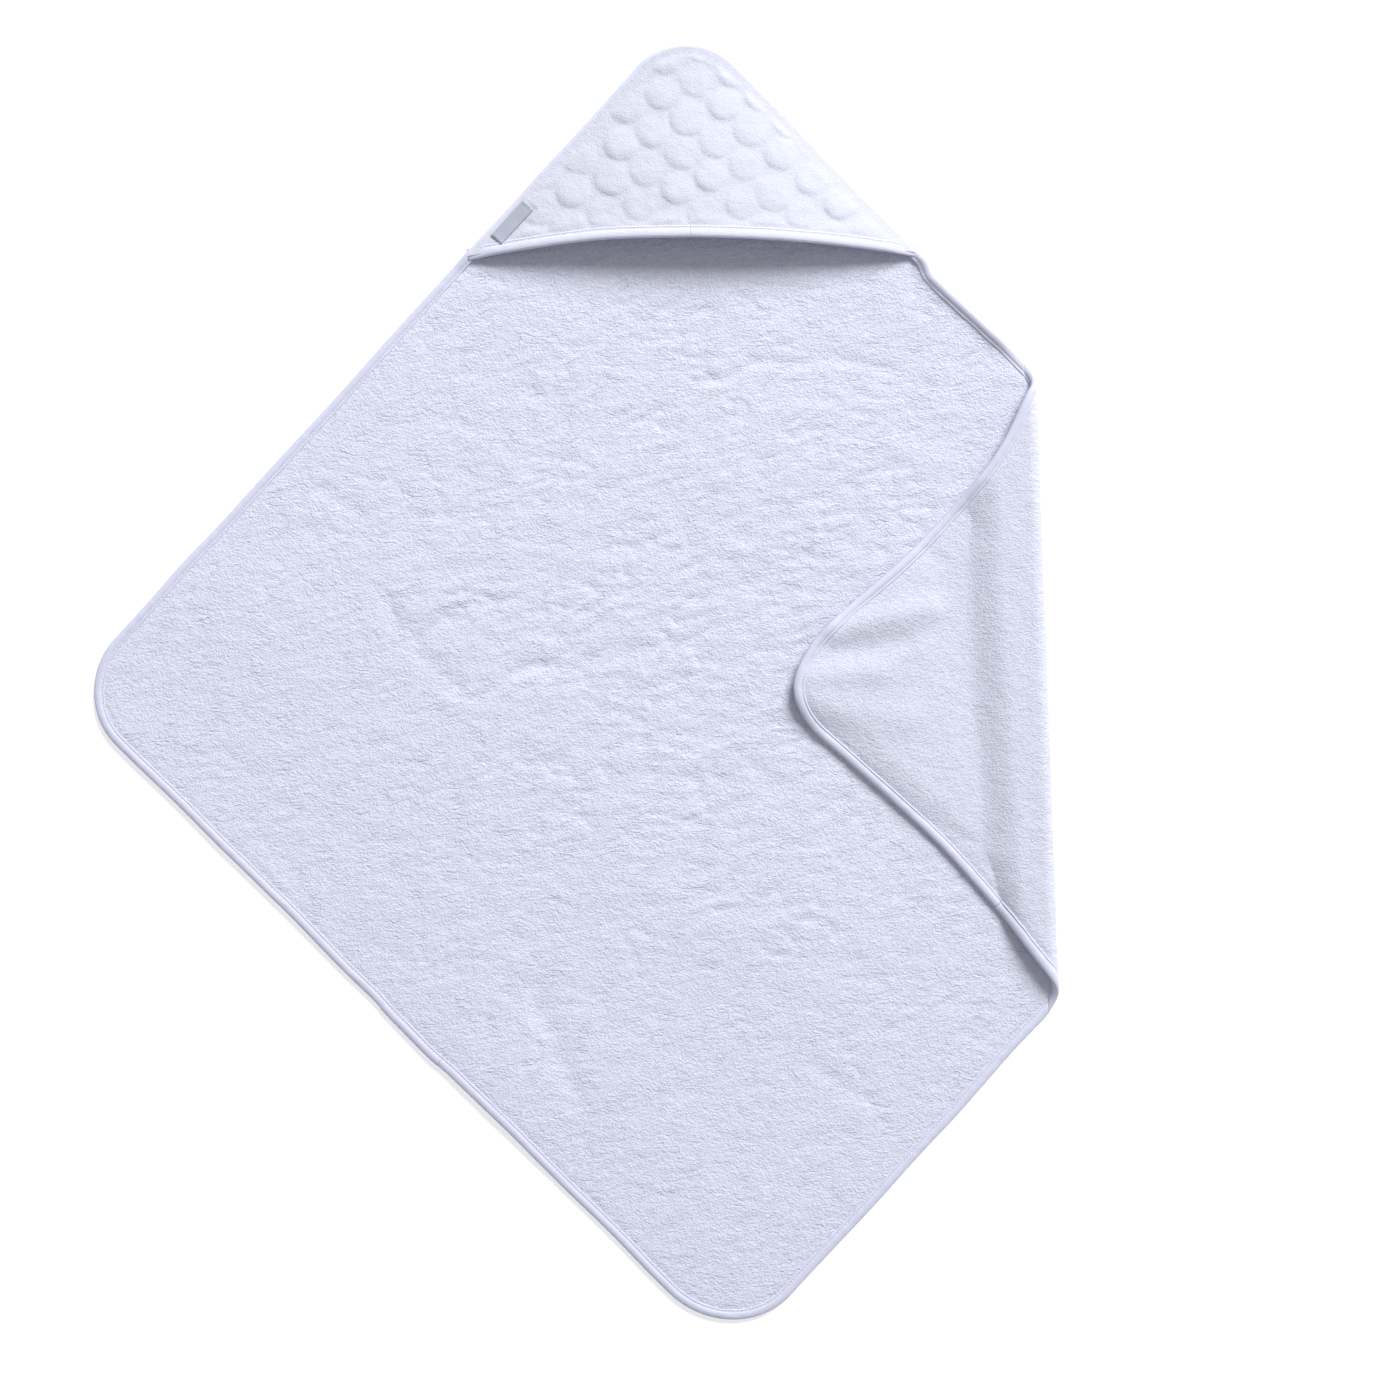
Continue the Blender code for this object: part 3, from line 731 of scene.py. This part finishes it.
def terry_material(name, low, high, loop, depth, creases):
    """Looped pile: loop is loops to the metre, depth how tall, creases how deep folds go; its
    colour carries painted shade, darker in the pits and along the creases.
    """
    paint = Paint(name, roughness=0.95, specular=0.06, sheen=0.12)
    loops = paint.cells(loop)
    fuzz = paint.grain(loop * 1.1, 3.0, roughness=0.65)
    tufts = paint.grain(loop * 0.40, 2.0, paint.turned(-0.22, (0.75, 1.25, 1.0)), 0.6)
    pile = paint.combine(paint.combine(fuzz, 0.9, "MULTIPLY"),
                         paint.combine(loops, -0.4, "MULTIPLY"))
    height = paint.combine(pile, paint.combine(tufts, 0.65, "MULTIPLY"))
    folds = paint.grain(85.0, 2.0, paint.turned(-0.26, (0.55, 1.45, 1.0)), 0.5, 0.4)
    ridge = paint.spread(paint.combine(paint.combine(folds, -0.5), 0.0, "ABSOLUTE"),
                         0.0, 0.045)
    patch = paint.spread(paint.grain(48.0, 2.0), 0.47, 0.64, 0.0, creases)
    lines = paint.combine(paint.combine(ridge, -1.0), patch, "MULTIPLY")
    paint.bump(paint.combine(height, lines), depth, 1.0)
    # Painted shade: the colour darkens with the relief height, so the pits between loops and
    # the crease lines are darker.
    paint.colour(low, high, paint.spread(paint.combine(height, lines), 0.40, 0.90))
    return paint.material


def velour_material():
    paint = Paint("velour", roughness=0.9, specular=0.10, sheen=0.30, sheen_roughness=0.35)
    nap = paint.grain(700.0, 3.0, roughness=0.6)
    soft = paint.grain(130.0, 3.0, roughness=0.6)
    height = paint.combine(nap, paint.combine(soft, 1.3, "MULTIPLY"))
    paint.bump(height, 0.0009, 0.9)
    paint.colour((0.545, 0.562, 0.657), (0.608, 0.625, 0.716), nap)
    return paint.material


def lining_material():
    paint = Paint("hood_lining", roughness=0.92, specular=0.1, sheen=0.1)
    height = paint.combine(paint.waves(260.0), paint.waves(260.0, direction="Y"), "MULTIPLY")
    paint.bump(height, 0.0003, 0.7)
    paint.colour((0.590, 0.608, 0.712), (0.660, 0.677, 0.764), height)
    return paint.material


def tape_material():
    """Fine ribs across a knitted tape."""
    paint = Paint("edge_tape", roughness=0.8, specular=0.2, sheen=0.12)
    ribs = paint.waves(250.0, direction="Y", distortion=0.4)
    rows = paint.waves(330.0, direction="X", distortion=0.8)
    mottle = paint.grain(140.0, 3.0)
    height = paint.combine(paint.combine(ribs, rows, "MULTIPLY"), mottle)
    paint.bump(height, 0.0003, 0.8)
    paint.colour((0.585, 0.598, 0.756), (0.652, 0.665, 0.812), height)
    return paint.material


def thread_material(name, low, high):
    paint = Paint(name, roughness=0.55, specular=0.3, sheen=0.1)
    paint.colour(low, high, paint.grain(900.0, 1.0))
    return paint.material


def label_material():
    """Closely woven satin with a plain face."""
    paint = Paint("label_satin", roughness=0.38, specular=0.5, sheen=0.1)
    warp = paint.waves(700.0, direction="X")
    weft = paint.waves(420.0, direction="Y")
    height = paint.combine(warp, weft, "MULTIPLY")
    paint.bump(height, 0.0001, 0.5)
    paint.colour((0.345, 0.370, 0.455), (0.430, 0.455, 0.545), height)
    return paint.material


# Painted shade: each terry's first colour is the shade painted into its pits and creases, the
# second the tone of its loop tops.
TERRY_FRONT = terry_material("terry_front", (0.600, 0.618, 0.758), (0.735, 0.752, 0.865),
                             loop=560.0, depth=0.0012, creases=0.28)
TERRY_BACK = terry_material("terry_back", (0.575, 0.592, 0.722), (0.690, 0.706, 0.815),
                            loop=620.0, depth=0.0010, creases=0.10)
VELOUR = velour_material()
LINING = lining_material()
TAPE = tape_material()
THREAD = thread_material("thread", (0.642, 0.660, 0.746), (0.712, 0.729, 0.799))
LABEL = label_material()
LABEL_THREAD = thread_material("label_thread", (0.16, 0.17, 0.22), (0.24, 0.25, 0.31))


# -------------------------------- terry: flat part, corner
CUT_Y = np.arange(-0.2800, 0.2560, EDGE_STEP)   # along the straight cut at the bend
FIELD_SEAM = seam_line(EDGE, FOLD_X, -1)
CORNER_SEAM = seam_line(CORNER, 0.0, 1)
cut_up = np.stack((np.full(len(CUT_Y), FOLD_X), CUT_Y), axis=1)
cut_down = np.stack((np.zeros(len(CUT_Y)), CUT_Y[::-1]), axis=1)

field = cloth_sheet("terry_field", np.vstack((FIELD_SEAM, cut_up)), lay_flat, FIELD_SEAM[::3],
                    [TERRY_FRONT, TERRY_BACK], half=CLOTH_HALF, spacing=0.0030,
                    coarse=0.010, front=front_relief, back=back_relief)
corner = cloth_sheet("terry_corner", np.vstack((CORNER_SEAM, cut_down)), lay_corner,
                     CORNER_SEAM[::2], [TERRY_FRONT, TERRY_BACK], half=CLOTH_HALF,
                     spacing=0.0028, coarse=0.0023, front=front_relief, back=back_relief,
                     flat_shift=FOLD_X)

# -------------------------------- tapes and their stitches
EDGE_WALKED = lengths_along(EDGE)


def place_on_edge(point):
    _, place = distance_to_path(np.array([point]), EDGE)
    return place[0]


def edge_between(start, end):
    places = np.linspace(start, end, int((end - start) / TAPE_STEP) + 1)
    return np.stack([np.interp(places, EDGE_WALKED, EDGE[:, k]) for k in (0, 1)], axis=1)


HOOD_FIRST = place_on_edge((0.2017, 0.3600))     # where the hood's front edge meets the
HOOD_LAST = place_on_edge((-0.2017, 0.3731))     # towel's edge, right and left
JOIN_FIRST = place_on_edge(LEFT + (FOOT - LEFT) * JOIN_START)
JOIN_LAST = place_on_edge(LEFT + (FOOT - LEFT) * JOIN_END)
JOIN_OVERLAP = 0.001
CUT_WAY = 1.5                # a tape's end is this much wider along the slanting cut
TAPE_RUNS = []


def hood_raise(start, end, count):
    """Extra height of the edge tape where the hood is caught in it."""
    places = np.linspace(start, end, count)
    up = smooth(HOOD_FIRST - 0.010, HOOD_FIRST + 0.012, places)
    return 0.0032 * up * (1 - smooth(HOOD_LAST - 0.012, HOOD_LAST + 0.010, places))


def flat_tape(name, start, end, seed, **ways):
    path = edge_between(start, end)
    tall = hood_raise(start, end, len(path))
    across = tape_directions(path, ways.get("start_way"), ways.get("end_way"))
    TAPE_RUNS.append(surface_route(path, across, lay_flat, STITCH_INSET * TAPE_SHARE,
                                   rise=0.0019, tall=tall))
    return edge_tape(name, path, lay_flat, TAPE, seed, tall=tall, wide=TAPE_SHARE, **ways)


tape_main = flat_tape("edge_tape_main", 0.0, JOIN_FIRST + JOIN_OVERLAP, 61,
                      start_way=(0.0, -CUT_WAY))
tape_foot = flat_tape("edge_tape_foot", JOIN_LAST - JOIN_OVERLAP, EDGE_WALKED[-1], 64,
                      end_way=(0.0, CUT_WAY))
join_path = edge_between(JOIN_FIRST - JOIN_OVERLAP, JOIN_LAST + JOIN_OVERLAP)
tape_join = edge_tape("edge_tape_join", inset(join_path, -0.0004), lay_flat, TAPE, 67,
                      wide=TAPE_SHARE + 0.05, stretch=1.08)
TAPE_RUNS.append(surface_route(join_path, inset(join_path, 1.0) - join_path, lay_flat,
                               STITCH_INSET * TAPE_SHARE, rise=0.0021))
edge_stitches = stitches("edge_stitches", TAPE_RUNS, THREAD)

tape_end_x, tape_end_y = FLAP_ROUTE[2]           # one corner tape ends here, the other starts
_, tape_end = distance_to_path(np.array([(BEND_LENGTH + FOLD_X - tape_end_x, tape_end_y)]),
                               CORNER)
split = int(np.searchsorted(lengths_along(CORNER), tape_end[0]))
corner_foot_path, corner_top_path = CORNER[:split + 1], CORNER[split:]
foot_way, top_way = (0.0, CUT_WAY), (0.0, -CUT_WAY)
corner_tape_foot = edge_tape("corner_tape_foot", corner_foot_path, lay_corner, TAPE, 71,
                             start_way=foot_way, wide=0.90, stretch=1.04)
corner_tape_top = edge_tape("corner_tape_top", corner_top_path, lay_corner, TAPE, 74,
                            end_way=top_way, wide=0.86)
corner_runs = []
for path, ways in ((corner_foot_path, (foot_way, None)), (corner_top_path, (None, top_way))):
    across = tape_directions(path, *ways)
    for side in (1, -1):
        route, up = surface_route(path, across, lay_corner, STITCH_INSET, rise=0.0020 * side)
        corner_runs.append((route, up * side))
corner_stitches = stitches("corner_stitches", corner_runs, THREAD)

# -------------------------------- hood
FRONT_ROUTE = ((-0.1935, 0.3726), (-0.1502, 0.3777), (-0.0807, 0.3829), (-0.0115, 0.3821),
               (0.0403, 0.3794), (0.0921, 0.3749), (0.1438, 0.3686), (0.1910, 0.3613))
FRONT = resampled(spline(FRONT_ROUTE), TAPE_STEP)
MIDDLE_SLOPE = -0.01234      # across for each metre down, along the middle of the apex


def beyond_middle(plan):
    """Distance to the right of the line that halves the hood."""
    return plan[:, 0] - MIDDLE_SLOPE * (HALF_LENGTH - plan[:, 1])


def at_middle(path):
    """Where a path crosses the line that halves the hood."""
    beyond = beyond_middle(path)
    k = int(np.flatnonzero(beyond[:-1] * beyond[1:] <= 0)[0])
    share = beyond[k] / (beyond[k] - beyond[k + 1])
    return path[k] + (path[k + 1] - path[k]) * share


front_seam = inset(FRONT, SEAM_INSET)
front_y = np.interp(FIELD_SEAM[:, 0], front_seam[:, 0], front_seam[:, 1])
above_front = (FIELD_SEAM[:, 1] > front_y) & (FIELD_SEAM[:, 1] > 0.3)
hood_sides = resampled(FIELD_SEAM[above_front], TAPE_STEP)
front_seam = front_seam[inside(front_seam, FIELD_SEAM)]
HOOD_SEAM = np.vstack((hood_sides, front_seam, hood_sides[:1]))
top_middle, front_middle = at_middle(hood_sides), at_middle(front_seam)
middle = resampled(np.vstack((front_middle, top_middle)), TAPE_STEP)
on_left, on_right = beyond_middle(hood_sides) < 0, beyond_middle(hood_sides) > 0
front_left, front_right = beyond_middle(front_seam) < 0, beyond_middle(front_seam) > 0
HOOD_RINGS = {
    "left": np.vstack((hood_sides[on_left], front_seam[front_left], middle)),
    "right": np.vstack((front_seam[front_right], hood_sides[on_right], middle[::-1])),
}


def hood_relief(plan):
    quilted = bubble_relief(plan) * (1 - 0.92 * label_share(plan))
    return quilted + 0.0005 * noise(plan, 0.030, 81) + 0.0003 * noise(plan, 0.012, 82)


def lay_hood_inner(plan, height):
    """The lining lies under the velour, and further under it away from the seam."""
    gap, _ = distance_to_path(plan, HOOD_SEAM[::3], SMALL_CHUNK)
    return lay_hood(plan, height - 0.0018 - 0.0010 * smooth(0.004, 0.014, gap))


def lay_front(plan, height):
    return lay_hood(plan, height - 0.0004)


def level(plan):
    return np.zeros(len(plan))


front_middle_outer = at_middle(FRONT)
front_walked = lengths_along(FRONT)
from_end = np.minimum(front_walked, front_walked[-1] - front_walked)
front_tall = -0.0030 * (1 - smooth(0.0, 0.026, from_end))    # flatter towards the side seams
hood_pieces = {}
for side, ring in HOOD_RINGS.items():
    face = cloth_sheet("hood_face_" + side, ring, lay_hood, HOOD_SEAM[::2], [VELOUR],
                       half=0.0016, spacing=0.0016, coarse=0.004, front=hood_relief,
                       back=level, rim=0.0012)
    inner = cloth_sheet("hood_inner_" + side, ring, lay_hood_inner, HOOD_SEAM[::2], [LINING],
                        half=0.0009, spacing=0.004, coarse=0.004, front=level, back=level,
                        rim=0.0005)
    mine = beyond_middle(FRONT) < 0 if side == "left" else beyond_middle(FRONT) > 0
    path = FRONT[mine]
    tall = front_tall[mine]
    if side == "left":
        path, tall = np.vstack((path, front_middle_outer)), np.append(tall, 0.0)
        ways = {"end_way": (-MIDDLE_SLOPE, 1.0)}
    else:
        path, tall = np.vstack((front_middle_outer, path)), np.insert(tall, 0, 0.0)
        ways = {"start_way": (-MIDDLE_SLOPE, 1.0)}
    binding = edge_tape("hood_tape_" + side, path, lay_front, TAPE, 84, tall=tall,
                        stretch=1.2, **ways)
    across = tape_directions(path, ways.get("start_way"), ways.get("end_way"))
    run = surface_route(path, across, lay_front, STITCH_INSET, rise=0.0022, tall=tall)
    seam = stitches("hood_stitches_" + side, [run], THREAD)
    hood_pieces[side] = [face, inner, binding, seam]

# -------------------------------- label
def label_place(along, inward, height):
    plan = LABEL_MIDDLE + np.outer(along, DOWN_SIDE) + np.outer(inward, left_of(DOWN_SIDE))
    return lay_hood(plan, height)


LABEL_HEIGHT, LABEL_HALF = 0.0024, 0.0002    # above the hood's middle, half its thickness


def make_label():
    """A blank woven label with turned-in ends."""
    columns, rows = 29, 11
    along, inward = np.meshgrid(np.linspace(-0.5, 0.5, columns) * LABEL_LENGTH,
                                np.linspace(-0.5, 0.5, rows) * LABEL_WIDTH, indexing="ij")
    along, inward = along.ravel(), inward.ravel()
    hem = 0.00022 * smooth(0.0030, 0.0022, LABEL_LENGTH / 2 - np.abs(along))
    ripple = 0.00012 * np.sin(along * 380.0) * np.sin(inward * 240.0 + 1.0)
    middle_height = LABEL_HEIGHT + ripple
    count = len(along)
    points = np.vstack((label_place(along, inward, middle_height + LABEL_HALF + hem),
                        label_place(along, inward, middle_height - LABEL_HALF)))
    faces = []
    for i in range(columns - 1):
        for j in range(rows - 1):
            a, b = i * rows + j, (i + 1) * rows + j
            faces.append((a, b, b + 1, a + 1))
            faces.append((count + a, count + a + 1, count + b + 1, count + b))
    rim = [i * rows for i in range(columns)]
    rim += [(columns - 1) * rows + j for j in range(1, rows)]
    rim += [i * rows + rows - 1 for i in range(columns - 2, -1, -1)]
    rim += range(rows - 2, 0, -1)
    for a, b in zip(rim, rim[1:] + rim[:1]):
        faces.append((a, count + a, count + b, b))
    flat = np.tile(np.stack((along, inward), axis=1), (2, 1))
    return add_piece("woven_label_face", points, faces, [LABEL], flat)


label = make_label()
label_seams = []
SEAM_POINTS, LABEL_SEAM_HEIGHT = 9, 0.00285
for name, end in (("label_seam_upper", -1), ("label_seam_lower", 1)):
    inward = np.linspace(-0.5, 0.5, SEAM_POINTS) * (LABEL_WIDTH - 0.0010)
    along = np.full(SEAM_POINTS, end * (LABEL_LENGTH / 2 - 0.0014))
    route = label_place(along, inward, LABEL_SEAM_HEIGHT)
    ups = np.tile((0.0, 0.0, 1.0), (SEAM_POINTS, 1))
    label_seams.append(stitches(name, [(route, ups)], LABEL_THREAD, length=0.0017,
                                pitch=0.0022, radius=0.00026))

# -------------------------------- the flat towel's pieces on its body, the rest baked in place, CAD parts hidden
for piece in (field, tape_main, tape_foot, tape_join, edge_stitches):
    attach(piece, "towel")
for piece in (corner, corner_tape_foot, corner_tape_top, corner_stitches):
    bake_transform(piece)
HOOD_REACH = 0.136
for side, along in (("left", unit(LEFT - APEX)), ("right", unit(APEX - RIGHT))):
    inwards = left_of(along) * HOOD_REACH
    start = np.append(APEX + ORIGIN[:2], 0.0)
    start[:2] += inwards * 0.02
    pieces = hood_pieces[side] + ([label, *label_seams] if side == "left" else [])
    for piece in pieces:
        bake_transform(piece)

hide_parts("terry_panel")
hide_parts("fold_bend", "folded_corner")
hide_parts("binding_main")
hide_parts("binding_join")
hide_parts("binding_foot")
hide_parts("edge_stitching")
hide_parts("corner_binding_foot")
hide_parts("corner_binding_top")
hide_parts("corner_stitching")
for face, inner, binding, seam in hood_pieces.values():
    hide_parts("hood_cover", "hood_wadding")
    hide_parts("hood_lining")
    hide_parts("hood_binding")
    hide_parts("hood_stitching")
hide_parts("woven_label")
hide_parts("label_stitch_upper")
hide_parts("label_stitch_lower")

for piece in PIECES:
    name = piece.name
    if name.startswith("terry"):
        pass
    elif "tape" in name:
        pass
    elif "stitches" in name:
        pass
    elif name.startswith("label_seam"):
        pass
    elif name.startswith("woven_label"):
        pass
    elif name.startswith("hood_face"):
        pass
    else:
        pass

# -------------------------------- floor, light, camera
FLOOR_HALF, FLOOR_DROP, FLOOR_GLOW = 6.0, 0.0006, 0.38
floor_mesh = bpy.data.meshes.new("floor")
floor_mesh.from_pydata([(x * FLOOR_HALF, y * FLOOR_HALF, 0.0)
                        for x, y in ((-1, -1), (1, -1), (1, 1), (-1, 1))], [], [(0, 1, 2, 3)])
floor_paint = Paint("pale_floor", roughness=0.9, specular=0.0)
floor_paint.fill(floor_paint.shader, {
    "Base Color": (0.985, 0.985, 0.985, 1.0), "Emission Color": (1.0, 1.0, 1.0, 1.0),
    "Emission Strength": FLOOR_GLOW})
floor_mesh.materials.append(floor_paint.material)
floor = bpy.data.objects.new("floor", floor_mesh)
floor.location.z = -FLOOR_DROP
bpy.context.scene.collection.objects.link(floor)

KEY_AZIMUTH, KEY_HEIGHT, KEY_DISTANCE = math.radians(60), math.radians(38), 9.0
KEY_SIZE, KEY_ENERGY, WORLD_STRENGTH = 4.4, 1070.0, 0.41
key_way = Vector((math.cos(KEY_AZIMUTH) * math.cos(KEY_HEIGHT),
                  math.sin(KEY_AZIMUTH) * math.cos(KEY_HEIGHT), math.sin(KEY_HEIGHT)))
key_data = bpy.data.lights.new("key_light", "AREA")
key_data.shape, key_data.size = "DISK", KEY_SIZE
key_data.energy = KEY_ENERGY
key = bpy.data.objects.new("key_light", key_data)
key.rotation_mode = "QUATERNION"
key.rotation_quaternion = key_way.to_track_quat("Z", "Y")
key.location = key_way * KEY_DISTANCE
bpy.context.scene.collection.objects.link(key)
world = bpy.data.worlds.new("studio")
bpy.context.scene.world = world
world.use_nodes = True
background = world.node_tree.nodes["Background"]
background.inputs["Color"].default_value = (1.0, 1.0, 1.0, 1.0)
background.inputs["Strength"].default_value = WORLD_STRENGTH

CAMERA_HEIGHT, SENSOR_WIDTH = 3.0, 36.0
VIEW_WIDTH = 1.1956          # of the floor, across the frame
camera_data = bpy.data.cameras.new("camera")
camera_data.sensor_width = SENSOR_WIDTH
camera_data.lens = SENSOR_WIDTH * CAMERA_HEIGHT / VIEW_WIDTH
camera = bpy.data.objects.new("camera", camera_data)
camera.location = (ORIGIN[0] - 0.01324, ORIGIN[1] - 0.00687, CAMERA_HEIGHT)
camera.rotation_euler = (0.0, 0.0, math.radians(-2.1))
bpy.context.scene.collection.objects.link(camera)
bpy.context.scene.camera = camera
bpy.context.scene.view_settings.view_transform = "Standard"
